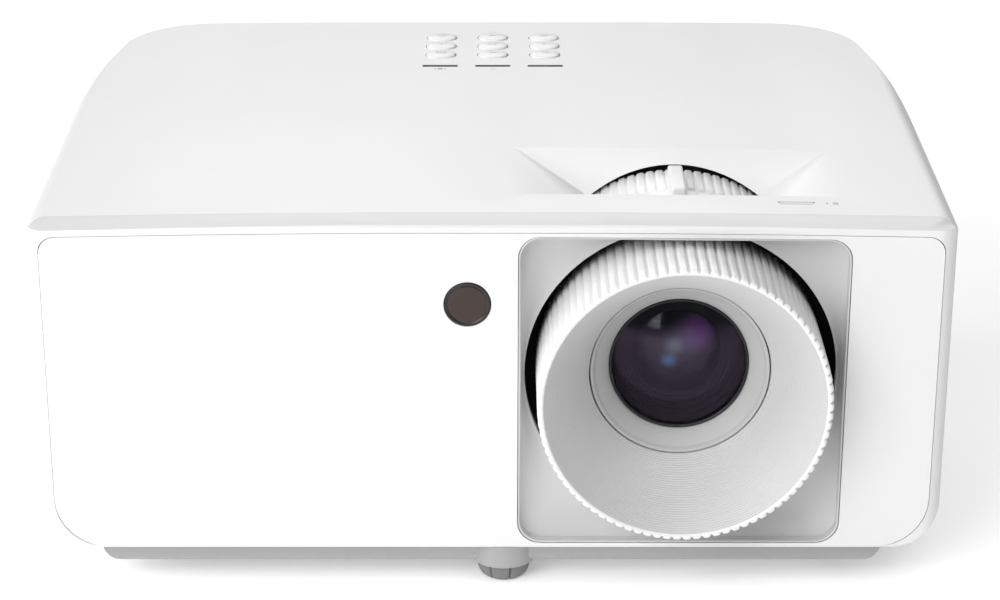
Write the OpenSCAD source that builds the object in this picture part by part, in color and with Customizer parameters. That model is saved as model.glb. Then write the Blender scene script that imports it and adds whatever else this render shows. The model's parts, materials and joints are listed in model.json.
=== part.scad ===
// Home projector, in millimetres. +Z is up, the lens looks along -Y, and the origin is on the
// surface that it stands on, about under the middle of its bounding box.

/* [Housing] */
// Overall width of the housing
body_w = 274; // [270:1:280]
// Front of the housing, which is the face of the bezel
front_y = -91; // [-92:0.5:-90]
// Back of the housing
back_y = 111; // [109:0.5:111.5]
// Top of the cover along its middle
cover_z = 119.5; // [119:0.1:119.8]
// Underside of the housing where it overhangs the base
belly_z = 12.5; // [12:0.1:13]
// Underside of the base
base_z = 6; // [5.6:0.1:6.4]
// Height of the joint between the bottom case and the top cover
split_z = 32; // [31:0.5:33]
// Wall thickness of the mouldings
wall = 2.5; // [2.3:0.1:2.6]

/* [Lens] */
// Sideways place of the lens axis
lens_x = 56.4; // [56:0.1:57]
// Height of the lens axis
lens_z = 67.9; // [67.5:0.1:68]
// Radius of the focus ring over its teeth
focus_r = 43.2; // [42.8:0.1:43.4]
// Number of teeth round the focus ring
focus_teeth = 90; // [80:1:110]
// Front of the focus ring
focus_front_y = -108; // [-108:0.5:-107]
// Radius of the zoom ring over its teeth
zoom_r = 46; // [45.6:0.1:46.2]
// Number of teeth round the zoom ring
zoom_teeth = 96; // [80:1:110]
// Radius of the round hole in the lens surround
surround_r = 46.6; // [46.3:0.1:46.7]

/* [Keypad] */
// Spacing of the three columns of buttons
key_pitch_x = 17.8; // [17:0.1:18.5]
// Spacing of the three rows of buttons
key_pitch_y = 9.9; // [9.6:0.1:10.5]
// Length of a button's cap, side to side
key_w = 10.2; // [9.5:0.1:10.6]
// Depth of a button's cap, front to back
key_d = 8; // [7.6:0.1:8.2]
// Height that a cap stands over the cover
key_proud = 0.8; // [0.5:0.1:0.8]

/* [Feet] */
// Sideways place of the front foot
front_foot_x = 3.7; // [2:0.1:5]
// Radius of the front foot's pad
front_foot_r = 8.4; // [8:0.1:8.5]
// Radius of a rear foot's pad
rear_foot_r = 7; // [6.5:0.1:7.2]
// Radius of the feet's threaded stems
stem_r = 3; // [2.8:0.1:3.1]

/* [Cooling] */
// Outer size of a fan's square frame
fan_size = 70; // [66:1:72]
// Thickness of a fan
fan_t = 15; // [14:0.5:15]
// Number of blades on a fan
fan_blades = 7; // [5:1:9]
// Number of fins on the laser heatsink
laser_fins = 13; // [9:1:14]

/* [Hidden] */
$fn = 64;
key_names = [
    "power_button", "up_button", "menu_button",
    "left_button", "enter_button", "right_button",
    "source_button", "down_button", "return_button"
];

fit = 0.2;                 // gap between two mouldings that meet
run = 0.05;                // radial clearance of a part that turns or slides in another
half_w = body_w / 2;
inner_top_z = cover_z - wall;
crown_r = 6000;            // radius of the cover's gentle sideways crown
side_mid_y = -14;          // where the housing is widest
side_front_r = 2640;       // radius of the side walls' bow ahead of there
side_rear_r = 550;         // radius of their bow behind it
rear_corner_r = 28;
rear_bow_r = 4400;         // radius of the rear wall's bow
front_corner_r = 6;
rear_edge_r = 3;           // rounding of the top's rear edge
front_edge_r = 2.2;        // rounding under the sloping strip along the top's front edge
strip_y = -83.4;           // where the strip starts
strip_angle = 12;
belly_r = 20;              // rounding of the lower long edges
shoulder_r = 6;            // rounding of the upper long edges
base_half_w = 119;
base_front_y = -87;
base_back_y = 102;

// lens surround, a square set into the bezel
surround_half = 48.5;
surround_z0 = 15.2;
surround_z1 = 114.4;
surround_back_y = -80;
funnel_y = -83;            // depth at which the surround's funnel turns round
// finger pocket over the zoom ring
pocket_front_y = -68.3;
pocket_back_y = -26.8;
pocket_half = 48.2;
pocket_back_slope = 1.2;
pocket_side_slope = 0.54;
slot_r = zoom_r + 1.2;
// keypad
key_mid_x = 0.4;
key_mid_y = 79.6;
key_gap = 0.3;
key_flange = 0.7;
light_y = 57.4;
light_w = 11.6;
light_d = 1.8;
// grilles
grille_y0 = -70;
grille_y1 = 72;
grille_z0 = 40;
grille_z1 = 98;
grille_r = 6;
grille_slats = 12;
grille_frame = 3;
grille_set_back = 0.8;
grille_depth = 3;
grille_reach = 12;         // how far in from the widest place a grille's parts may reach
// front and rear openings
front_hole_half = 132;
front_hole_z0 = 13.6;
front_hole_z1 = 115.9;
rear_hole_half = 106;
rear_hole_z0 = 22;
rear_hole_z1 = 76;
panel_y = 104;
panel_t = 1.5;
// feet
foot_cup_wall = 1.2;
foot_cup_z = 12;           // ceiling of the cup that a raised pad goes into
foot_nut_z = 17;           // top of the threaded collar over the cup
foot_front_y = -80.5;
foot_rear_y = 84;
foot_rear_x = 98;
pad_top_z = 5.8;
stem_z0 = 2;
stem_z1 = 26;
mount_x = 60;
mount_y0 = -38;
mount_y1 = 52;
insert_r = 3.2;
insert_hole_r = 1.65;
insert_h = 8;
screw_x = 126;
screw_ys = [-62, 70];
screw_r = 1.5;
screw_head_r = 2.9;
screw_seat_z = 24;
// boards
board_t = 1.6;
main_z = 24;
main_x0 = -58;
main_x1 = 82;
main_y0 = 58;
main_y1 = 103;
// optical engine
engine_x0 = 6;
engine_x1 = 107;
engine_y0 = -20;
engine_y1 = 46;
engine_z0 = 28;
engine_z1 = 104;
wheel_y = 14;
wheel_z = 46;
wheel_r = 27;
wheel_x = -14;
fan_y = 8;
fan_z = 66;
intake_fan_x = -129.5;
exhaust_fan_x = 114.5;

// ---------- helpers ----------

function arc(c, r, a0, a1, n) =
    [for (i = [0:n]) c + r * [cos(a0 + (a1 - a0) * i / n), sin(a0 + (a1 - a0) * i / n)]];

// rounded rectangle with one radius for its two low corners and one for its two high corners
function rounded(x0, x1, y0, y1, r0, r1, n = 6) = concat(
    arc([x0 + r0, y0 + r0], r0, 180, 270, n),
    arc([x1 - r0, y0 + r0], r0, 270, 360, n),
    arc([x1 - r1, y1 - r1], r1, 0, 90, n),
    arc([x0 + r1, y1 - r1], r1, 90, 180, n));

// extrudes an outline drawn in x and z from y0 to y1
module along_y(y0, y1) {
    translate([0, y1, 0]) rotate([90, 0, 0]) linear_extrude(y1 - y0) children();
}

// extrudes an outline drawn in y and z from x0 to x1
module along_x(x0, x1) {
    translate([x0, 0, 0]) rotate([90, 0, 90]) linear_extrude(x1 - x0) children();
}

// box given by its low and high corners
module block(low, high) {
    translate(low) cube(high - low);
}

// stands a part drawn round Z on the lens axis, with its z as y
module on_lens_axis() {
    translate([lens_x, 0, lens_z]) rotate([-90, 0, 0]) children();
}

// revolves an outline of radius and y round the lens axis
module lens_turned(points) {
    on_lens_axis() rotate_extrude() polygon(points);
}

// cylinder along X from x0 to x1
module rod_x(x0, x1, y, z, r) {
    translate([x0, y, z]) rotate([0, 90, 0]) cylinder(h = x1 - x0, r = r);
}

// cylinder along Y from y0 to y1
module rod_y(y0, y1, x, z, r) {
    translate([x, y0, z]) rotate([-90, 0, 0]) cylinder(h = y1 - y0, r = r);
}

// outline with two points a tooth, for a knurled grip
function toothed(r, depth, teeth) =
    [for (i = [0:teeth - 1], k = [0:3])
        (k < 2 ? r : r - depth) * [cos(360 * (i + k * 0.25) / teeth), sin(360 * (i + k * 0.25) / teeth)]];

// pill-shaped outline centred on the origin
module pill(w, d) {
    square([w - d, d], center = true);
    for (s = [-1, 1]) translate([s * (w - d) / 2, 0]) circle(d / 2);
}

// ---------- housing ----------

// plan of the housing: bowed sides and back, tight front corners and round rear ones
function side_x(y, i) =
    let (r = y < side_mid_y ? side_front_r : side_rear_r)
    half_w - i - (r - sqrt(r * r - pow(y - side_mid_y, 2)));
function rear_y(x, i) = back_y - i - (rear_bow_r - sqrt(rear_bow_r * rear_bow_r - x * x));
// centre of the rear corner's arc, which touches both the side's bow and the rear wall's
function rear_corner() =
    let (
        a = [half_w - side_rear_r, side_mid_y],
        b = [0, back_y - rear_bow_r],
        ra = side_rear_r - rear_corner_r,
        rb = rear_bow_r - rear_corner_r,
        d = norm(b - a),
        u = (b - a) / d,
        k = (ra * ra - rb * rb + d * d) / (2 * d),
        h = sqrt(ra * ra - k * k))
    [a[0] + k * u[0] - h * u[1], a[1] + k * u[1] + h * u[0]];
function half_plan(i) =
    let (
        fr = front_corner_r - i,
        fy = front_y + front_corner_r,
        c = rear_corner(),
        turn = atan2(c[1] - side_mid_y, c[0] - half_w + side_rear_r),
        stop = atan2(c[1] - back_y + rear_bow_r, c[0]))
    concat(
        arc([side_x(fy, i) - fr, fy], fr, 270, 360, 6),
        [for (y = [-60, side_mid_y, 6, 26, 46, 66]) [side_x(y, i), y]],
        arc(c, rear_corner_r - i, turn, stop, 10),
        [for (x = [75, 50, 25]) [x, rear_y(x, i)]]);
function mirrored(points) =
    concat(points, [for (k = [len(points) - 1:-1:0]) [-points[k][0], points[k][1]]]);

// how far the crowned top has dropped at x
function drop(x) = crown_r - sqrt(crown_r * crown_r - x * x);
function crowned(points) = [for (p = points) [p[0], p[1] - drop(p[0])]];

// outline across the housing, with a crowned top
function front_outline(z0, z1, half, r0, r1) =
    mirrored(concat(
        arc([half - r0, z0 + r0], r0, 270, 360, 8),
        crowned(arc([half - r1, z1 - r1], r1, 0, 90, 8)),
        crowned([for (x = [90, 60, 30]) [x, z1]])));

// outline along the housing, with the strip sloping down to the front edge
function side_outline(i) =
    let (
        r = max(front_edge_r - i, 0.3),
        rr = max(rear_edge_r - i, 0.3),
        low = max(3 - i, 0.3),
        y0 = front_y + i,
        y1 = back_y - i,
        z0 = belly_z + i,
        z1 = cover_z - i,
        z = z1 + ((y0 + r - strip_y) * sin(strip_angle) - r) / cos(strip_angle))
    concat(
        arc([y0 + low, z0 + low], low, 180, 270, 5),
        arc([y1 - low, z0 + low], low, 270, 360, 5),
        arc([y1 - rr, z1 - rr], rr, 0, 90, 8),
        [[strip_y, z1]],
        arc([y0 + r, z], r, 90 + strip_angle, 180, 4));

module housing_form(i) {
    intersection() {
        along_y(front_y + i, back_y - i)
            polygon(front_outline(belly_z + i, cover_z - i, half_w - i, belly_r - i, shoulder_r - i));
        linear_extrude(150) polygon(mirrored(half_plan(i)));
        along_x(-half_w, half_w) polygon(side_outline(i));
        // the strip follows the crown
        translate([0, strip_y, cover_z - i]) rotate([strip_angle, 0, 0]) along_y(-40, 260)
            polygon(mirrored(concat([[160, -200]], crowned([for (x = [160, 125, 90, 60, 30]) [x, 0]]))));
    }
}

// inside of the walls, which stops at the rear panel's inner face
module housing_cavity() {
    intersection() {
        housing_form(wall);
        block([-200, -200, 0], [200, panel_y + panel_t, 200]);
    }
}

module base_form(i) {
    top = belly_z + wall + 1;
    r = 8;
    intersection() {
        along_y(base_front_y + i, base_back_y - i)
            polygon(rounded(-base_half_w + i, base_half_w - i, base_z + i, top, r - i, 0.5));
        along_x(-base_half_w, base_half_w)
            polygon(rounded(base_front_y + i, base_back_y - i, base_z + i, top, 3.5 - i, 0.5));
    }
}

module front_opening(gap) {
    along_y(front_y - 5, front_y + wall + 1)
        polygon(front_outline(
            front_hole_z0 + gap, front_hole_z1 - gap, front_hole_half - gap, 16, 5));
}

module rear_opening(gap) {
    along_y(panel_y, back_y + 5)
        polygon(rounded(-rear_hole_half + gap, rear_hole_half - gap, rear_hole_z0 + gap, rear_hole_z1 - gap, 4, 4));
}

module grille_outline(gap) {
    polygon(rounded(grille_y0 + gap, grille_y1 - gap, grille_z0 + gap, grille_z1 - gap, grille_r, grille_r));
}

// places the three feet: the front one is larger
module each_foot() {
    translate([front_foot_x, foot_front_y, 0]) children(0);
    for (s = [-1, 1]) translate([s * foot_rear_x, foot_rear_y, 0]) children(1);
}

module each_mount() {
    for (x = [-mount_x, mount_x], y = [mount_y0, mount_y1]) translate([x, y, 0]) children();
}

module each_screw() {
    for (s = [-1, 1], y = screw_ys) translate([s * screw_x, y, 0]) children();
}

// outside and inside of the cup that a foot screws into
module foot_cup(r) {
    translate([0, 0, base_z]) cylinder(h = foot_cup_z + 1.5 - base_z, r = r + foot_cup_wall);
    translate([0, 0, foot_cup_z]) cylinder(h = foot_nut_z - foot_cup_z, r = stem_r + 3);
}

module foot_cavity(r) {
    translate([0, 0, base_z - 1]) cylinder(h = foot_cup_z - base_z + 1, r = r + 0.35);
    cylinder(h = foot_nut_z + 1, r = stem_r + run);
}

module bottom_case() {
    color("whitesmoke") difference() {
        union() {
            intersection() {
                difference() {
                    union() {
                        housing_form(0);
                        base_form(0);
                    }
                    housing_cavity();
                    base_form(wall);
                    // opens the base into the housing
                    block([-base_half_w + 9, base_front_y + 5, base_z + wall + 1],
                          [base_half_w - 9, base_back_y - 5, belly_z + wall + 2]);
                }
                block([-200, -200, 0], [200, 200, split_z]);
            }
            each_foot() {
                foot_cup(front_foot_r + 0.35);
                foot_cup(rear_foot_r + 0.35);
            }
            each_mount() translate([0, 0, base_z]) cylinder(h = insert_h + 2, r = insert_r + 2.5);
            intersection() {
                housing_form(1);
                each_screw() cylinder(h = split_z, r = screw_head_r + 1.6);
            }
        }
        front_opening(0);
        rear_opening(0);
        each_foot() {
            foot_cavity(front_foot_r);
            foot_cavity(rear_foot_r);
        }
        each_mount() cylinder(h = base_z + insert_h, r = insert_r);
        each_screw() {
            cylinder(h = screw_seat_z, r = screw_head_r + fit);
            cylinder(h = split_z + 1, r = screw_r + fit);
        }
    }
}

// hopper-shaped finger pocket, lowered and widened by grow for the wall under its slopes
module pocket_form(grow) {
    drop = grow * 1.2;
    top = cover_z + 4;
    lip_z = cover_z - 0.7;
    reach = (top - lip_z + drop) / pocket_side_slope;
    apex_z = lip_z - pocket_half * pocket_side_slope - drop;
    run_y = (top - lip_z + drop) / pocket_back_slope;
    foot_y = pocket_back_y - (lip_z - apex_z - drop) / pocket_back_slope;
    front = pocket_front_y - grow;
    intersection() {
        along_y(front, pocket_back_y + run_y)
            polygon([[lens_x - pocket_half - reach, top], [lens_x, apex_z], [lens_x + pocket_half + reach, top]]);
        along_x(lens_x - pocket_half - reach, lens_x + pocket_half + reach)
            polygon([[front, top], [front, apex_z], [foot_y, apex_z], [pocket_back_y + run_y, top]]);
    }
}

module key_hole(grow, z0, z1) {
    translate([0, 0, z0]) linear_extrude(z1 - z0) pill(key_w + 2 * grow, key_d + 2 * grow);
}

module each_key() {
    for (row = [-1:1], column = [-1:1])
        translate([key_mid_x + column * key_pitch_x, key_mid_y + row * key_pitch_y, 0]) children();
}

module each_light() {
    for (column = [-1:1])
        translate([key_mid_x + column * key_pitch_x, light_y, 0]) children();
}

module top_cover() {
    color("white") difference() {
        union() {
            difference() {
                intersection() {
                    housing_form(0);
                    block([-200, -200, split_z], [200, 200, 200]);
                }
                housing_cavity();
            }
            intersection() {
                housing_form(1);
                union() {
                    pocket_form(2);
                    each_screw() translate([0, 0, split_z]) cylinder(h = 7.5, r = screw_head_r + 1.6);
                    for (s = [-1, 1], y = screw_ys)
                        block([s * (screw_x + 5) - 5, y - 1.5, split_z],
                              [s * (screw_x + 5) + 5, y + 1.5, split_z + 7.5]);
                }
            }
        }
        pocket_form(0);
        rod_y(pocket_front_y - 8, pocket_back_y - 1, lens_x, lens_z, slot_r);
        // clears the shroud
        rod_y(pocket_front_y - 8, pocket_front_y - 0.5, lens_x, lens_z, surround_r + 1.8);
        front_opening(0);
        rear_opening(0);
        for (s = [-1, 1])
            along_x(s > 0 ? half_w - grille_reach : -half_w - 2, s > 0 ? half_w + 2 : -half_w + grille_reach)
                grille_outline(0);
        each_key() key_hole(key_gap, 100, 130);
        each_light() translate([-light_w / 2 - fit, -light_d / 2 - fit, 100]) cube([light_w + 2 * fit, light_d + 2 * fit, 30]);
        each_screw() translate([0, 0, split_z - 1]) cylinder(h = 7, r = screw_r);
    }
}

// outline of the lens surround, whose top follows the crown
function surround_outline(gap, r0, r1) =
    [for (p = rounded(lens_x - surround_half - gap, lens_x + surround_half + gap,
                      surround_z0 - gap, surround_z1 + gap, r0, r1))
        [p[0], p[1] > lens_z ? p[1] - drop(p[0]) : p[1]]];

module front_bezel() {
    color("white") difference() {
        intersection() {
            front_opening(fit);
            block([-200, front_y, 0], [200, front_y + wall, 200]);
        }
        along_y(front_y - 1, front_y + wall + 1) polygon(surround_outline(fit, 7, 6.5));
        rod_y(front_y - 1, front_y + wall + 1, ir_x, ir_z, ir_r + 0.15);
    }
}

module lens_surround() {
    color("gainsboro") difference() {
        along_y(front_y, surround_back_y) polygon(surround_outline(0, 7, 6.5));
        hull() {
            along_y(front_y - 0.1, front_y) polygon(surround_outline(-0.8, 6, 5.5));
            on_lens_axis() translate([0, 0, funnel_y - 0.1]) cylinder(h = 0.1, r = surround_r - 0.4, $fn = 48);
        }
        rod_y(front_y - 1, surround_back_y + 1, lens_x, lens_z, surround_r);
    }
}

module lens_shroud() {
    color("black") lens_turned([
        [surround_r + 0.1, surround_back_y + fit], [surround_r + 1.5, surround_back_y + fit],
        [surround_r + 1.5, -69], [36, -69], [36, -70.5], [surround_r + 0.1, -70.5]]);
}

module rear_panel() {
    color("gainsboro") difference() {
        intersection() {
            rear_opening(fit);
            block([-200, panel_y, 0], [200, panel_y + panel_t, 200]);
        }
        for (x = hdmi_xs) block([x - hdmi_w / 2 - fit, 100, port_z - fit], [x + hdmi_w / 2 + fit, 110, port_z + hdmi_h + fit]);
        block([usb_x - usb_w / 2 - fit, 100, port_z - fit], [usb_x + usb_w / 2 + fit, 110, port_z + usb_h + fit]);
        for (x = [vga_x, serial_x]) {
            dsub_shell(x, 0.4, 100, 110);
            for (s = [-1, 1]) rod_y(100, 110, x + s * dsub_nut_x, dsub_z, nut_r + 0.2);
        }
        for (x = jack_xs) rod_y(100, 110, x, jack_z, jack_r + fit);
        block([inlet_x - inlet_w / 2 - fit, 100, inlet_z - inlet_h / 2 - fit],
              [inlet_x + inlet_w / 2 + fit, 110, inlet_z + inlet_h / 2 + fit]);
        block([lock_x - 3.5, 100, lock_z - 1.5], [lock_x + 3.5, 110, lock_z + 1.5]);
    }
}

// louvred insert that follows the bowed side wall: s is -1 for the left and 1 for the right
module grille(s) {
    pitch = (grille_z1 - grille_z0 - 2 * grille_frame) / grille_slats;
    in = half_w - grille_reach;
    mirror([s < 0 ? 1 : 0, 0, 0]) difference() {
        intersection() {
            union() {
                along_x(in, half_w) difference() {
                    grille_outline(fit);
                    polygon(rounded(grille_y0 + grille_frame, grille_y1 - grille_frame,
                                    grille_z0 + grille_frame, grille_z1 - grille_frame, 3, 3));
                }
                for (k = [0:grille_slats - 1])
                    along_y(grille_y0 + 1, grille_y1 - 1)
                        translate([half_w - 3, grille_z0 + grille_frame + (k + 0.5) * pitch])
                            polygon([[-9, 5.08], [-9, 6.28], [5, -2.4], [5, -3.6]]);
                for (y = [-23, 25]) block([in, y - 1, grille_z0 + 1], [half_w - 3.4, y + 1, grille_z1 - 1]);
            }
            housing_form(grille_set_back);
        }
        housing_form(grille_set_back + grille_depth);
    }
}

module intake_grille() { color("whitesmoke") grille(-1); }
module exhaust_grille() { color("whitesmoke") grille(1); }

// infrared receiver window
ir_x = -7.1;
ir_z = 93.4;
ir_r = 6.9;
module ir_window() {
    color("#3b2f2f") {
        rod_y(front_y - 0.2, front_y + wall, ir_x, ir_z, ir_r);
        rod_y(front_y + wall, front_y + wall + 1.2, ir_x, ir_z, ir_r + 1.2);
    }
}

module indicator_light_pipes() {
    color("dimgray") each_light() {
        translate([-light_w / 2, -light_d / 2, inner_top_z - 3]) cube([light_w, light_d, wall + 3 - 0.1]);
        translate([-light_w / 2 - 1, -light_d / 2 - 1, inner_top_z - 3]) cube([light_w + 2, light_d + 2, 2]);
    }
}

module front_stop_pads() {
    color("gray") for (s = [-1, 1]) translate([s * 108, -79, 4]) {
        translate([0, 0, 1]) cylinder(h = base_z - 5, r = 2.4);
        cylinder(h = 1, r1 = 1.6, r2 = 2.4);
    }
}

// ---------- fasteners ----------

module mount_inserts() {
    color("goldenrod") each_mount() translate([0, 0, base_z]) difference() {
        cylinder(h = insert_h, r = insert_r);
        translate([0, 0, -1]) cylinder(h = insert_h + 2, r = insert_hole_r);
    }
}

module case_screws() {
    color("silver") each_screw() difference() {
        union() {
            translate([0, 0, screw_seat_z - 2]) cylinder(h = 2, r = screw_head_r);
            translate([0, 0, screw_seat_z - 1]) cylinder(h = 14.5, r = screw_r - 0.02);
        }
        for (a = [0, 90]) rotate([0, 0, a]) translate([-1.6, -0.35, screw_seat_z - 2.5]) cube([3.2, 0.7, 1.5]);
    }
}

// ---------- boards and ports ----------

module keypad_board() {
    color("seagreen") block([-29, 54, 108.6], [30, 97, 108.6 + board_t]);
    color("dimgray") each_key() translate([-3, -3, 108.6 + board_t]) cube([6, 6, 1]);
    color("white") each_light() translate([-1.5, -1, 108.6 + board_t]) cube([3, 2, 1]);
}

module ir_receiver_board() {
    color("seagreen") block([ir_x - 9, -82, ir_z - 8], [ir_x + 9, -82 + board_t, ir_z + 8]);
    color("black") block([ir_x - 3, -86, ir_z - 3.5], [ir_x + 3, -82, ir_z + 3.5]);
}

hdmi_xs = [62, 40];
hdmi_w = 15;
hdmi_h = 5.9;
usb_x = 20;
usb_w = 14.4;
usb_h = 7;
port_z = 25.6;
port_front_y = 106.4;
vga_x = -8;
serial_x = -46;
dsub_z = 33;
dsub_nut_x = 12.5;
nut_r = 2.6;
jack_xs = [76];
jack_z = 29;
jack_r = 3;
jack_bore_r = 1.8;
inlet_x = -84;
inlet_z = 46;
inlet_w = 28;
inlet_h = 20;
lock_x = 95;
lock_z = 60;

module main_board() {
    color("seagreen") block([main_x0, main_y0, main_z], [main_x1, main_y1, main_z + board_t]);
    color("silver") block([20, 62, main_z + board_t], [44, 80, main_z + board_t + 8]);
    color("black") {
        block([-20, 62, main_z + board_t], [-6, 76, main_z + board_t + 1.5]);
        block([52, 62, main_z + board_t], [64, 74, main_z + board_t + 1.5]);
    }
}

// hollow socket: an open metal box with a tongue
module socket(x, w, h, deep, t, tongue_z, tongue_t) {
    difference() {
        block([x - w / 2, port_front_y - deep, port_z], [x + w / 2, port_front_y, port_z + h]);
        block([x - w / 2 + t, port_front_y - deep + 1.5, port_z + t],
              [x + w / 2 - t, port_front_y + 1, port_z + h - t]);
    }
    block([x - w * 0.32, port_front_y - deep + 1, port_z + tongue_z],
          [x + w * 0.32, port_front_y - 2, port_z + tongue_z + tongue_t]);
}

module hdmi_and_usb_ports() {
    color("silver") {
        for (x = hdmi_xs) socket(x, hdmi_w, hdmi_h, 12, 0.5, hdmi_h - 2.6, 0.9);
        socket(usb_x, usb_w, usb_h, 16, 0.6, usb_h - 2.4, 1.2);
    }
}

// D-shaped shell of a 15 or 9 way connector, from y0 to y1
module dsub_shell(x, grow, y0, y1) {
    w = 8.6 + grow;
    h = 4.2 + grow;
    along_y(y0, y1)
        translate([x, dsub_z]) polygon([[-w, h], [w, h], [w - 1.5, -h], [-w + 1.5, -h]]);
}

module dsub_body(x) {
    block([x - 15.5, 92, port_z], [x + 15.5, 102, dsub_z + 6]);
    block([x - 15.5, 102, dsub_z - 6], [x + 15.5, 103.5, dsub_z + 6]);
}

module vga_port() {
    color("royalblue") {
        dsub_body(vga_x);
        difference() {
            dsub_shell(vga_x, 0, 103.5, port_front_y + 1);
            for (row = [-1:1], k = [-2:2])
                rod_y(105, 110, vga_x + k * 2.3 + row * 0.6, dsub_z + row * 2, 0.45);
        }
    }
}

module serial_port() {
    color("silver") {
        dsub_body(serial_x);
        difference() {
            dsub_shell(serial_x, 0, 103.5, port_front_y + 1);
            dsub_shell(serial_x, -0.5, 104, port_front_y + 2);
        }
        for (k = [-2:2]) rod_y(103, port_front_y - 0.2, serial_x + k * 2.76, dsub_z + 1.4, 0.5);
        for (k = [-1.5:1.5]) rod_y(103, port_front_y - 0.2, serial_x + k * 2.76, dsub_z - 1.4, 0.5);
    }
}

module audio_jacks() {
    color("black") for (x = jack_xs) difference() {
        union() {
            block([x - 3.5, 90, port_z], [x + 3.5, panel_y - 0.5, port_z + 7]);
            rod_y(panel_y - 1, port_front_y, x, jack_z, jack_r);
        }
        rod_y(92, 110, x, jack_z, jack_bore_r);
    }
}

module port_jack_nuts() {
    color("silver") for (x = [vga_x, serial_x], s = [-1, 1]) difference() {
        rod_y(103.5, port_front_y + 1, x + s * dsub_nut_x, dsub_z, nut_r);
        rod_y(104.5, 112, x + s * dsub_nut_x, dsub_z, 1.3);
    }
}

// three-pin mains inlet
module ac_inlet() {
    color("black") difference() {
        union() {
            block([inlet_x - inlet_w / 2, 88, inlet_z - inlet_h / 2],
                  [inlet_x + inlet_w / 2, panel_y + panel_t + 0.3, inlet_z + inlet_h / 2]);
            block([inlet_x - 15.5, panel_y + panel_t, inlet_z - 11.5],
                  [inlet_x + 15.5, panel_y + panel_t + 1.9, inlet_z + 11.5]);
        }
        block([inlet_x - 12, 92, inlet_z - 8.2], [inlet_x + 12, 112, inlet_z + 8.2]);
    }
    color("silver") {
        for (s = [-1, 1]) block([inlet_x + s * 7 - 1, 86, inlet_z - 4], [inlet_x + s * 7 + 1, 104.5, inlet_z]);
        block([inlet_x - 1, 86, inlet_z - 0.5], [inlet_x + 1, 105, inlet_z + 3.5]);
    }
}

module power_board() {
    color("darkkhaki") block([-112, -82, 17], [-12, -26, 17 + board_t]);
    color("silver") for (x = [-108, -16], y = [-78, -30]) translate([x, y, base_z + wall]) cylinder(h = 17 - base_z - wall, r = 2.5);
}

module power_components() {
    z = 17 + board_t;
    color("gold") block([-70, -66, z], [-42, -40, z + 26]);
    color("black") for (y = [-72, -54]) translate([-98, y, z]) cylinder(h = 30, r = 8);
    color("dimgray") {
        block([-34, -76, z], [-30, -32, z + 28]);
        translate([-24, -70, z]) cylinder(h = 16, r = 5);
        translate([-24, -56, z]) cylinder(h = 16, r = 5);
    }
    color("orange") block([-84, -40, z], [-76, -30, z + 12]);
}

// ---------- lens ----------

module lens_barrel() {
    color("dimgray") lens_turned([
        [26, -76], [30, -76], [30, -61], [34, -61], [34, -29], [44, -29],
        [44, engine_y0], [19, engine_y0], [19, -24], [23, -24], [23, -30], [26, -30]]);
}

module rear_lens_group() {
    color("lightsteelblue") lens_turned([[0, -29.5], [14, -28.2], [20, -26.5], [22.9, -26.5], [22.9, -24.1], [0, -24.1]]);
}

module zoom_cell() {
    color("dimgray") lens_turned([[19, -50], [26 - run, -50], [26 - run, -38], [19, -38]]);
    color("lightsteelblue") lens_turned([[0, -48.5], [10, -47], [19, -45], [19, -41], [10, -40], [0, -39.5]]);
}

module zoom_ring() {
    y0 = -60;
    y1 = -30;
    color("white") {
        lens_turned([
            [34 + run, y0], [zoom_r - 0.8, y0], [zoom_r - 0.8, y1], [zoom_r - 3, y1],
            [zoom_r - 3, y0 + 3], [36.6, y0 + 3], [36.6, y1], [34 + run, y1]]);
        on_lens_axis() translate([0, 0, y0 + 1]) linear_extrude(y1 - y0 - 2) difference() {
            polygon(toothed(zoom_r, 0.7, zoom_teeth));
            circle(zoom_r - 1);
        }
        block([lens_x - 2.6, y0 + 2, lens_z + zoom_r - 2], [lens_x + 2.6, -36, lens_z + zoom_r + 3.4]);
    }
}

module front_lens_cell() {
    color("silver") lens_turned([
        [20.8, -75], [26.6, -81.7], [26.9, -81.7], [26.9, -80], [26 - run, -78], [26 - run, -58],
        [22.5, -58], [22.5, -70], [20.8, -70]]);
}

module front_lens() {
    color("midnightblue") lens_turned([
        [0, -79.5], [8, -79], [14, -77.8], [20.7, -75.6], [20.7, -69.8], [22.4, -69.8], [22.4, -67], [0, -67]]);
}

module focus_ring() {
    back = -70.8;
    color("white") {
        lens_turned([
            [focus_r - 1.2, focus_front_y], [focus_r - 1.9, focus_front_y + 0.6],
            [27.3, -82.5], [27.3, -79.3], [30 + run, -79.3], [30 + run, -63], [32.6, -63], [32.6, -79.5],
            [focus_r - 3, -95.5], [focus_r - 3, back], [focus_r - 1, back], [focus_r - 1, focus_front_y]]);
        on_lens_axis() translate([0, 0, focus_front_y + 0.4]) linear_extrude(back - focus_front_y - 0.8) difference() {
            polygon(toothed(focus_r, 0.8, focus_teeth));
            circle(focus_r - 1.1);
        }
    }
}

// ---------- light engine ----------

module engine_housing() {
    t = 3;
    color("dimgray") difference() {
        block([engine_x0, engine_y0, engine_z0], [engine_x1, engine_y1, engine_z1]);
        block([engine_x0 + t, engine_y0 + t, engine_z0 + t], [engine_x1 - t, engine_y1 - t, engine_z1 - t]);
        rod_y(engine_y0 - 1, engine_y0 + t + 1, lens_x, lens_z, 19);
        block([lens_x - 15, engine_y1 - t - 1, lens_z - 12], [lens_x + 15, engine_y1 + 1, lens_z + 12]);
        rod_x(engine_x0 - 1, engine_x0 + t + 1, wheel_y, lens_z, 8);
    }
    color("dimgray") for (x = [engine_x0 + 6, engine_x1 - 6], y = [engine_y0 + 6, engine_y1 - 6])
        translate([x, y, base_z + wall]) cylinder(h = engine_z0 - base_z - wall, r = 4);
}

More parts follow.
